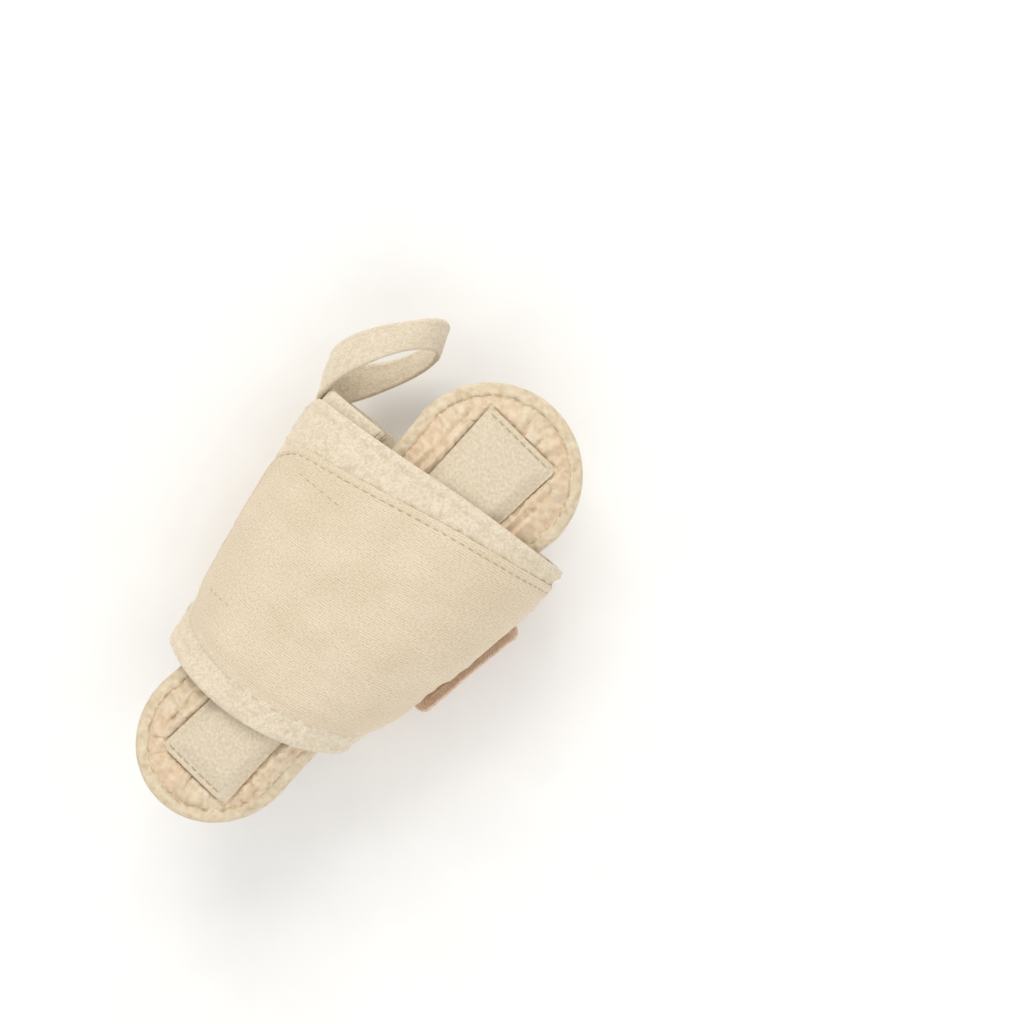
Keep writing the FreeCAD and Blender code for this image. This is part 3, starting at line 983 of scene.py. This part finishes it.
def pad_outline(count):
    """Points round the pad at even steps, anticlockwise from the middle of its right side, where
    the flap covers the place at which the rim tape's ends meet."""

    def arc(x, y, radius, start):
        """Half a circle, anticlockwise from its start."""
        turns = [start + math.pi * k / 200 for k in range(200)]
        return [Vector((x + radius * math.cos(a), y + radius * math.sin(a), 0)) for a in turns]

    def side(top, low, waist):
        """A shallow arc from one end of a side to the other, through the waist."""
        middle = (0 - top[1]) / (low[1] - top[1])
        sag = waist - (top[0] + (low[0] - top[0]) * middle)
        points = []
        for t in [k / 200 for k in range(200)]:
            straight = top[0] + (low[0] - top[0]) * t
            y = top[1] + (low[1] - top[1]) * t
            points.append(Vector((straight + sag * 4 * t * (1 - t), y, 0.0)))
        return points

    right_top, right_low = (PAD_TOP_X + PAD_WIDE, PAD_TOP), (PAD_LOW_X + PAD_NARROW, PAD_LOW)
    left_top, left_low = (PAD_TOP_X - PAD_WIDE, PAD_TOP), (PAD_LOW_X - PAD_NARROW, PAD_LOW)
    dense = arc(PAD_TOP_X, PAD_TOP, PAD_WIDE, 0.0) + side(left_top, left_low, PAD_WAIST[0])
    dense += arc(PAD_LOW_X, PAD_LOW, PAD_NARROW, math.pi) + side(right_low, right_top, PAD_WAIST[1])
    dense = dense[700:] + dense[:701]
    lengths = [0.0]
    for a, b in zip(dense, dense[1:]):
        lengths.append(lengths[-1] + (b - a).length)
    points = []
    for k in range(count):
        d = lengths[-1] * k / count
        i = min(int(np.searchsorted(lengths, d, side="right")) - 1, len(dense) - 2)
        t = (d - lengths[i]) / max(lengths[i + 1] - lengths[i], 1e-9)
        points.append(dense[i].lerp(dense[i + 1], t))
    return points


def inward(points):
    ways = []
    for k, p in enumerate(points):
        way = points[(k + 1) % len(points)] - points[k - 1]
        ways.append(Vector((-way.y, way.x, 0)).normalized())
    return ways


PAD_COUNT = 420
pad_edge = pad_outline(PAD_COUNT)
pad_in = inward(pad_edge)


def pucker(k, inset, size, seed):
    """Folds that run in from the pad's edge, about this far apart along it."""
    p = pad_edge[k % PAD_COUNT]
    return noise.noise(Vector((p.x / size, p.y / size, 0.3 * inset / size + seed)))


def pad_spine(p):
    y = min(max(p.y, PAD_LOW + 8), PAD_TOP - 8)
    return Vector((PAD_LOW_X + (PAD_TOP_X - PAD_LOW_X) * (y - PAD_LOW) / (PAD_TOP - PAD_LOW), y, 0))


def pad_place(k, inset):
    """The place seen from the palm, this far inside the pad's edge."""
    p = pad_edge[k % PAD_COUNT]
    near = p + pad_in[k % PAD_COUNT] * inset
    if inset <= 12:
        return near
    start = p + pad_in[k % PAD_COUNT] * 12
    return start.lerp(pad_spine(p), (inset - 12) / 14)


def pocket_half(y):
    near, middle, far = POCKET_HALVES
    t = (y - POCKET_ENDS[0]) / (POCKET_ENDS[1] - POCKET_ENDS[0])
    return near + (far - near) * t - 4 * t * (1 - t) * ((near + far) / 2 - middle)


def from_pocket(x, y):
    """How far a place is outside the pocket's outline; less than 0 inside it."""
    aside = abs(x) - pocket_half(y)
    beyond = max(y - POCKET_ENDS[1], POCKET_ENDS[0] - y)
    return max(aside, beyond) if aside < 0 or beyond < 0 else math.hypot(aside, beyond)


def pad_face_height(k, inset):
    """The face before it settles: seamed at the rim, full beside the pocket, flat under it."""
    p = pad_place(k, inset)
    away = from_pocket(p.x, p.y)
    ends = smooth(48.0, 64.0, abs(p.y))
    rise = 3.0 + 1.3 * smooth(RIM - 0.6, RIM + 3.0, inset)
    gather = 1.1 * pucker(k, inset, 3.4, 2.0) + 0.5 * pucker(k, inset, 1.9, 9.0)
    gather *= smooth(RIM - 0.4, RIM + 1.2, inset) * (0.15 + 0.85 * ends)
    sides = 1.0 - smooth(66.0, 71.0, abs(p.y))
    ridge = 1.5 * swell(away, 2.5, 1.15) + 1.1 * swell(away, 6.2, 1.2)
    crease = -0.7 * swell(away, 0.6, 0.7)
    crease -= 0.4 * swell(away, 4.3, 0.6) * sides
    return rise + (gather + ridge * sides) * smooth(-1.0, 2.0, away) + crease


PAD_INNERMOST = 25.9
PAD_RINGS = [RIM - 1.6 + 0.4 * i for i in range(34)] + [18.0, 21.0, 24.0, PAD_INNERMOST]
FACE_SLACK = 0.09
FACE_TRAVEL = 1.3
FACE_STEPS = 24
FACE_UNIT = 100


def settled_face(rings, faces):
    """The face cloth, cut larger than its place and held at the rim and under the pocket, so
    that it buckles into real gathers. It is worked at ten times its size."""
    mesh = bpy.data.meshes.new("face_cloth")
    mesh.from_pydata([p / FACE_UNIT for p in rings], [], faces)
    sheet = bpy.data.objects.new("face_cloth", mesh)
    bpy.context.scene.collection.objects.link(sheet)
    held = sheet.vertex_groups.new(name="sewn")
    for number, p in enumerate(rings):
        inset = PAD_RINGS[number // PAD_COUNT]
        loose = smooth(RIM - 0.5, RIM + 0.8, inset)
        grip = 1.0 - loose + 1.0 - smooth(-0.6, 0.8, from_pocket(p.x, p.y))
        held.add([number], min(1.0, grip), "REPLACE")
    modifier = sheet.modifiers.new("cloth", "CLOTH")
    settings = modifier.settings
    settings.quality = 8
    settings.mass = 0.2
    settings.tension_stiffness = settings.compression_stiffness = 30.0
    settings.shear_stiffness = 12.0
    settings.bending_stiffness = 0.02
    settings.air_damping = 3.0
    settings.shrink_min = -FACE_SLACK
    settings.vertex_group_mass = "sewn"
    settings.effector_weights.gravity = 0.0
    modifier.point_cache.frame_start = 1
    modifier.point_cache.frame_end = FACE_STEPS
    for number in range(1, FACE_STEPS + 1):
        bpy.context.scene.frame_set(number)
    made = sheet.evaluated_get(bpy.context.evaluated_depsgraph_get())
    settled = []
    for before, v in zip(rings, made.data.vertices):
        move = v.co * FACE_UNIT - before
        reach = FACE_TRAVEL * (0.3 + 0.7 * smooth(62.0, 72.0, abs(before.y)))
        if move.length > reach:
            move *= reach / move.length
        move.z = max(move.z, -0.8)
        settled.append(before + move)
    bpy.data.objects.remove(sheet)
    bpy.data.meshes.remove(mesh)
    bpy.context.scene.frame_set(1)
    return settled


def gathered_cloth():
    """Soft nylon loop cloth: a peachy beige where it is brushed up. In the hollows of its tufts it
    turns sandier: that is painted shade.
    """
    material, surface, pattern = cloth_shader("soft_loop_cloth", 0.92, 0.5)
    tufts = add_node(
        material, "TexNoise", {}, {"Vector": pattern, "Scale": 45.0, "Detail": 5.0}
    ).outputs["Fac"]
    blush = add_node(
        material, "TexNoise", {}, {"Vector": pattern, "Scale": 7.0, "Detail": 2.0}
    ).outputs["Fac"]
    peach = add_node(
        material, "ValToRGB", {}, {"Fac": blush}, ((0.4, "#FFFCF4"), (0.62, "#FFF5EA"))
    ).outputs["Color"]
    # The low stop is painted shade in the hollows of the tufts; the higher stops colour their tops.
    colours = ((0.3, "#CDBBA1"), (0.5, "#DDCDB6"), (0.75, "#E8DCC9"))
    return finish_cloth(material, surface, tufts, colours, 0.4, 0.6, peach)


pad_cloth = gathered_cloth()


def pad_shell(insets, height, step=1):
    """Rings of points round the pad at these insets, with their flat pattern; height gives each
    point's own height."""
    verts, uvs = [], []
    for inset in insets:
        for k in range(0, PAD_COUNT, step):
            p = pad_place(k, inset)
            verts.append(on_pad(p.x, p.y, height(k, inset, p)))
            uvs.append((p.x / 100, p.y / 100))
    return verts, uvs


def shell_faces(rows, count, gap):
    """Faces between a shell's rings, and across its two open middles either side of the gap."""
    faces = []
    for r in range(rows):
        if r != gap:
            faces += band(r * count, ((r + 1) % rows) * count, count)
    start = count // 4
    for r, turn in ((gap, 1), (gap + 1, -1)):
        for k in range(count // 2):
            corners = (start + k, start + k + 1, start - k - 1, start - k)
            quad = list(dict.fromkeys(r * count + v % count for v in corners))
            if len(quad) > 2:
                faces.append(tuple(quad[::turn]))
    return faces


def pad_body():
    """The pad's face and foam as one closed cushion."""
    under = (PAD_INNERMOST, 20.0, 15.0, 10.0, 7.0, 5.0, 3.5, RIM - 1.6)
    verts, uvs = pad_shell(PAD_RINGS, lambda k, inset, p: pad_face_height(k, inset))
    low, low_uvs = pad_shell(under, lambda k, inset, p: 0.75 + 0.12 * ripple(p.x, p.y, 8.0, 5.0))
    last = len(PAD_RINGS) - 1
    faces = shell_faces(last + 1 + len(under), PAD_COUNT, last)
    verts = settled_face(verts, faces[: last * PAD_COUNT])
    return shown("pad_cushion", verts + low, faces, uvs + low_uvs)


pad = pad_body()
fasten(pad, "wrap", "pad_cloth", pad_cloth, "pad_face", "pad_foam")


def pad_skin_side():
    """The pad's lining, with its edge caught in the rim."""
    insets = (2.2, 3.5, 5.0, 7.0, 10.0, 15.0, 20.0, PAD_INNERMOST)
    verts, uvs = pad_shell(insets, lambda k, inset, p: 0.7, 2)
    low, low_uvs = pad_shell(
        insets[::-1], lambda k, inset, p: 0.02 + 0.1 * ripple(p.x, p.y, 9.0, 7.0), 2
    )
    faces = shell_faces(2 * len(insets), PAD_COUNT // 2, len(insets) - 1)
    return shown("pad_lining_cloth", verts + low, faces, uvs + low_uvs)


pad_back = pad_skin_side()
fasten(pad_back, "wrap", "lining", tricot, "pad_lining")


# ---- The pad's bound rim ----
# A folded tape, 4.6 mm wide, rolled over the edges of face, foam and lining. It is pulled
# tight round the ends, so it ripples. It is the darkest cloth on the splint, partly in its own
# colour and partly from painted shade where its slub dips.


def rim_tape():
    """Cotton-rich binding tape: a dull sandy beige, mottled where it ripples. The mottle's darker
    parts are painted shade in the dips of its slub.
    """
    material, surface, pattern = cloth_shader("cotton_edge_tape", 0.93, 0.35)
    slub = add_node(
        material, "TexNoise", {}, {"Vector": pattern, "Scale": 40.0, "Detail": 5.0}
    ).outputs["Fac"]
    # The low stop is painted shade in the dips of the slub; the rest is the tape's own sand colour.
    colours = ((0.3, "#C6B192"), (0.5, "#D6C5A8"), (0.75, "#E5D7BF"))
    return finish_cloth(material, surface, slub, colours, 0.45, 0.7)


edge_tape = rim_tape()


def rim():
    rings = []
    profile = 22
    for k in range(PAD_COUNT):
        lap = 0.7 * pucker(k, 0.0, 2.8, 4.0)
        ring = []
        for m in range(profile):
            a = 2 * math.pi * m / profile
            c, s = math.cos(a), math.sin(a)
            inset = RIM / 2 * (1 + math.copysign(abs(c) ** 0.75, c)) + (lap if c > 0 else 0.0) * c
            height = 1.95 + 1.95 * math.copysign(abs(s) ** 0.8, s)
            if s > 0:
                fold = 0.8 * pucker(k, inset, 2.7, 1.0) + 0.45 * pucker(k, 2 * inset, 1.5, 6.0)
                height += s * fold
            p = pad_place(k, inset)
            ring.append(on_pad(p.x, p.y, max(height, 0.03)))
        rings.append(ring)
    return swept("pad_rim_tape", rings, closed=True)


pad_rim = rim()
fasten(pad_rim, "wrap", "edge_tape", edge_tape, "pad_edge_binding")

rim_line = []
for k in range(PAD_COUNT + 1):
    p = pad_place(k, 3.9)
    rim_line.append(on_pad(p.x, p.y, 3.5))
rim_row = stitched("pad_rim_stitching", rim_line, [Vector((0, 0, 1))] * len(rim_line))
fasten(rim_row, "wrap", "edge_tape")


# ---- The stay and its pocket ----
# A flat strip of knit sewn on the pad's face along both sides and across both ends. The
# aluminium stay inside lifts its middle, and its corners pull into sharp creases.


def pocket_knit():
    """The same knit as the flap, cut the other way, so it looks plainer and a little greyer."""
    material, surface, pattern = cloth_shader("pocket_knit", 0.9, 0.35)
    rows = add_node(
        material,
        "TexWave",
        {"bands_direction": "DIAGONAL"},
        {"Vector": pattern, "Scale": 70.0, "Distortion": 5.0, "Detail": 3.0},
    ).outputs["Fac"]
    fibres = add_node(
        material, "TexNoise", {}, {"Vector": pattern, "Scale": 95.0, "Detail": 4.0}
    ).outputs["Fac"]
    grain = add_node(
        material, "Math", {"operation": "MULTIPLY_ADD"}, {0: rows, 1: 0.13, 2: fibres}
    ).outputs[0]
    colours = ((0.3, "#C7B79C"), (0.58, "#D6C8AF"), (0.85, "#E3D7C1"))
    return finish_cloth(material, surface, grain, colours, 0.25, 0.6)


pocket_cloth = pocket_knit()
POCKET_TOP = 7.3
POCKET_SEAM = 4.9


def pocket_point(u, v, t):
    y = between(POCKET_ENDS, v)
    half = pocket_half(min(max(y, POCKET_ENDS[0]), POCKET_ENDS[1]))
    end = min(y - POCKET_ENDS[0], POCKET_ENDS[1] - y)
    turn = 1 - min(max(end / 2.4, 0.0), 1.0)
    half -= 1.9 * (1 - math.sqrt(1 - turn**2))
    x = (2 * u - 1) * half
    side = half - abs(x)
    full = smooth(0.4, 4.8, side) * smooth(1.2, 6.5, end)
    dip = -0.3 * swell(end, 1.3, 0.5) - 0.7 * swell(side, 0.0, 0.9)
    wave = 0.2 * ripple(x, y, 6.0, 17.0) + 0.1 * ripple(x, y, 2.5, 12.0)
    pull = 0.18 * ripple(x * 1.2, y * 0.6, 2.6, 25.0) * math.exp(-min(side, end) / 3.0)
    face = POCKET_SEAM + 0.35 + (POCKET_TOP - POCKET_SEAM - 0.35) * full + dip + wave * 0.6 + pull
    back = POCKET_SEAM - 0.5 + (POCKET_TOP - POCKET_SEAM - 0.35) * full
    return on_pad(x, y, back + t * (face - back))


pocket = cloth("stay_pocket_cloth", pocket_point, (26.0, 146.0), (61, 241), 0.85)
fasten(pocket, "wrap", "pad_cloth", pocket_cloth, "stay_pocket")

POCKET_ROWS = (
    (POCKET_ENDS[0] + 1.4, POCKET_HALVES[0] - 1.0),
    (POCKET_ENDS[1] - 1.4, POCKET_HALVES[2] - 1.0),
)
for number, (y, half) in enumerate(POCKET_ROWS):
    row = [on_pad(half * (k / 20 - 1), y, POCKET_SEAM + 0.3) for k in range(41)]
    ways = [Vector((0, 0, 1))] * len(row)
    # The pocket rows use the seam thread, whose darker colour is painted shade.
    pocket_row = stitched(f"stay_pocket_stitching_{number + 1}", row, ways, shaded_seam_thread)
    fasten(pocket_row, "wrap", "edge_tape")


def sanded_aluminium():
    """Annealed aluminium strip with a sanded finish: fine scratches run along it."""
    material, surface = shader("sanded_aluminium", {"Metallic": 1.0})
    place = add_node(material, "TexCoord").outputs["Object"]
    drawn = add_node(material, "Mapping", {}, {"Vector": place, "Scale": (900.0, 40.0, 900.0)})
    scratches = add_node(
        material, "TexNoise", {}, {"Vector": drawn.outputs["Vector"], "Scale": 1.0, "Detail": 4.0}
    ).outputs["Fac"]
    return finish_cloth(
        material, surface, scratches, ((0.3, "#B9BABC"), (0.7, "#D7D8D9")), 0.03, 0.4
    )


def dipped_vinyl():
    """Cream vinyl dip on the stay's ends: smooth, slightly uneven and semi-gloss."""
    material, surface = shader("dipped_vinyl", {"Roughness": 0.35})
    place = add_node(material, "TexCoord").outputs["Object"]
    flow = add_node(
        material, "TexNoise", {}, {"Vector": place, "Scale": 300.0, "Detail": 2.0}
    ).outputs["Fac"]
    return finish_cloth(material, surface, flow, ((0.3, "#E6E0CF"), (0.7, "#F1ECDD")), 0.1, 0.3)


for node_name, made in (
    ("palmar_stay", sanded_aluminium()),
    ("stay_distal_cap", dipped_vinyl()),
    ("stay_proximal_cap", dipped_vinyl()),
):
    carried = frame["nodes"][node_name]
    carried.data.materials.clear()
    carried.data.materials.append(made)


# ---- The thumb loop ----
# A soft elastic band, 10.6 mm wide, folded double. It passes over the thumb to the web and
# returns behind it. At the thumb side it widens, and is sewn flat over the wrap's taped edge.

LOOP_CENTRE = Vector((-49.3, 58.5, 26.0))
THUMB_WAY = Vector((-0.42, 0.907, 0.0))
LOOP_WAY = Vector((0.907, 0.42, 0.0))
LOOP_HALVES = (15.9, 14.0)
LOOP_SLANT, LOOP_SHIFT, LOOP_LEAN = 12.0, 1.5, 5.5
LOOP_BAND = 10.6
SWING_AT = joint_place("thumb_loop_swing")


def loop_frame(angle):
    """The band's middle, its outward direction and its half-width at an angle round the thumb."""
    c, s = math.cos(math.radians(angle)), math.sin(math.radians(angle))
    middle = LOOP_CENTRE + LOOP_WAY * LOOP_HALVES[0] * c + Vector((0, 0, LOOP_HALVES[1] * s))
    middle += THUMB_WAY * (LOOP_SLANT * c + LOOP_SHIFT + LOOP_LEAN * s)
    out = LOOP_WAY * LOOP_HALVES[1] * c + Vector((0, 0, LOOP_HALVES[0] * s))
    spread = smooth(60.0, 160.0, abs(angle))
    middle += THUMB_WAY * 0.9 * spread
    return middle, out.normalized(), LOOP_BAND / 2 * (1.0 + 0.55 * spread)


def sewn_down(p, angle):
    """The band's sewn end, pressed outwards over the wrap's taped edge."""
    low = min(max(0.0, 43.5 + 0.112 * (p.x + 56.0) - p.y), 4.0)
    p.x += smooth(125.0, 160.0, abs(angle)) * (0.55 * low - 0.1 * low**2)
    return p


def loop_band():
    rings = []
    for i in range(240):
        angle = -180.0 + 1.5 * i
        middle, out, half = loop_frame(angle)
        ring = []
        for m in range(28):
            a = 2 * math.pi * m / 28
            c, s = math.cos(a), math.sin(a)
            along = math.copysign(abs(c) ** 0.55, c) * half
            thick = 0.95 * math.copysign(abs(s) ** 0.7, s)
            edge = abs(along) / half
            p = middle + THUMB_WAY * along
            lumps = 0.14 * noise.noise(p / 1.9) + 0.3 * noise.noise(p / 4.5)
            roll = 0.22 * swell(edge, 0.86, 0.1) - 0.16 * swell(edge, 0.66, 0.06)
            thick += (lumps + roll) * s
            ring.append(sewn_down(p + out * thick, angle))
        rings.append(ring)
    return swept("thumb_loop_elastic", rings, closed=True)


thumb_loop = loop_band()
thumb_loop.data.materials.append(terry)
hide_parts("thumb_loop_band")
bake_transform(thumb_loop)

row, ways = [], []
for i in range(24):
    angle = 158.0 + 44.0 * i / 23 - (360.0 if i > 11 else 0.0)
    middle, out, half = loop_frame(angle)
    row.append(sewn_down(middle - THUMB_WAY * half * 0.62 + out * 0.62, angle))
    ways.append(out)
loop_row = stitched("thumb_loop_stitching", row, ways)
fasten(loop_row, "wrap", "elastic")


# ---- The table, the light and the camera ----
# A plain white table under soft light from the thumb side, seen from straight above the palm.
# A key and a wider fill keep the shadows soft, and the white surroundings lift them.


def white_table():
    """Matt white laminate with a very faint unevenness."""
    material, surface = shader("white_table", {"Roughness": 0.7, "Specular IOR Level": 0.2})
    place = add_node(material, "TexCoord").outputs["Object"]
    mottle = add_node(material, "TexNoise", {}, {"Vector": place, "Scale": 40.0}).outputs["Fac"]
    colour = add_node(
        material, "ValToRGB", {}, {"Fac": mottle}, ((0.3, "#F6F5F3"), (0.7, "#F9F8F6"))
    ).outputs["Color"]
    material.node_tree.links.new(colour, surface.inputs["Base Color"])
    return material


mesh = bpy.data.meshes.new("table")
mesh.from_pydata([(-3, -3, 0), (3, -3, 0), (3, 3, 0), (-3, 3, 0)], [], [(0, 1, 2, 3)])
table = bpy.data.objects.new("table", mesh)
table.location.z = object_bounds()[0][2] - 0.0002
bpy.context.scene.collection.objects.link(table)
table.data.materials.append(white_table())

world = bpy.data.worlds.new("studio")
bpy.context.scene.world = world
world.use_nodes = True
world.node_tree.nodes["Background"].inputs["Color"].default_value = linear("#FFFFFF")
world.node_tree.nodes["Background"].inputs["Strength"].default_value = 0.68


def softbox(name, place, size, power, code):
    light = bpy.data.lights.new(name, "AREA")
    light.shape = "SQUARE"
    light.size = size
    light.energy = power
    light.color = linear(code)[:3]
    lamp = bpy.data.objects.new(name, light)
    lamp.location = place
    aim = Vector((0, 0, 0.03)) - Vector(place)
    lamp.rotation_euler = aim.to_track_quat("-Z", "Y").to_euler()
    bpy.context.scene.collection.objects.link(lamp)


softbox("key_softbox", (-0.75, 0.55, 0.85), 0.8, 7.5, "#FFFDF9")
softbox("fill_softbox", (0.7, -0.4, 0.9), 1.2, 5.0, "#FFFFFF")

FIELD = 0.320
LENS, SENSOR = 85.0, 36.0
VIEW_CENTRE = Vector((0.01345, 0.0542, 0.045))
ROLL = math.radians(44.5)
camera = bpy.data.objects.new("camera", bpy.data.cameras.new("camera"))
camera.data.lens = LENS
camera.data.sensor_width = SENSOR
camera.data.clip_start = 0.01
camera.location = VIEW_CENTRE + Vector((0, 0, FIELD * LENS / SENSOR))
camera.rotation_euler = (0.0, 0.0, ROLL)
bpy.context.scene.collection.objects.link(camera)
bpy.context.scene.camera = camera
bpy.context.scene.view_settings.view_transform = "Standard"
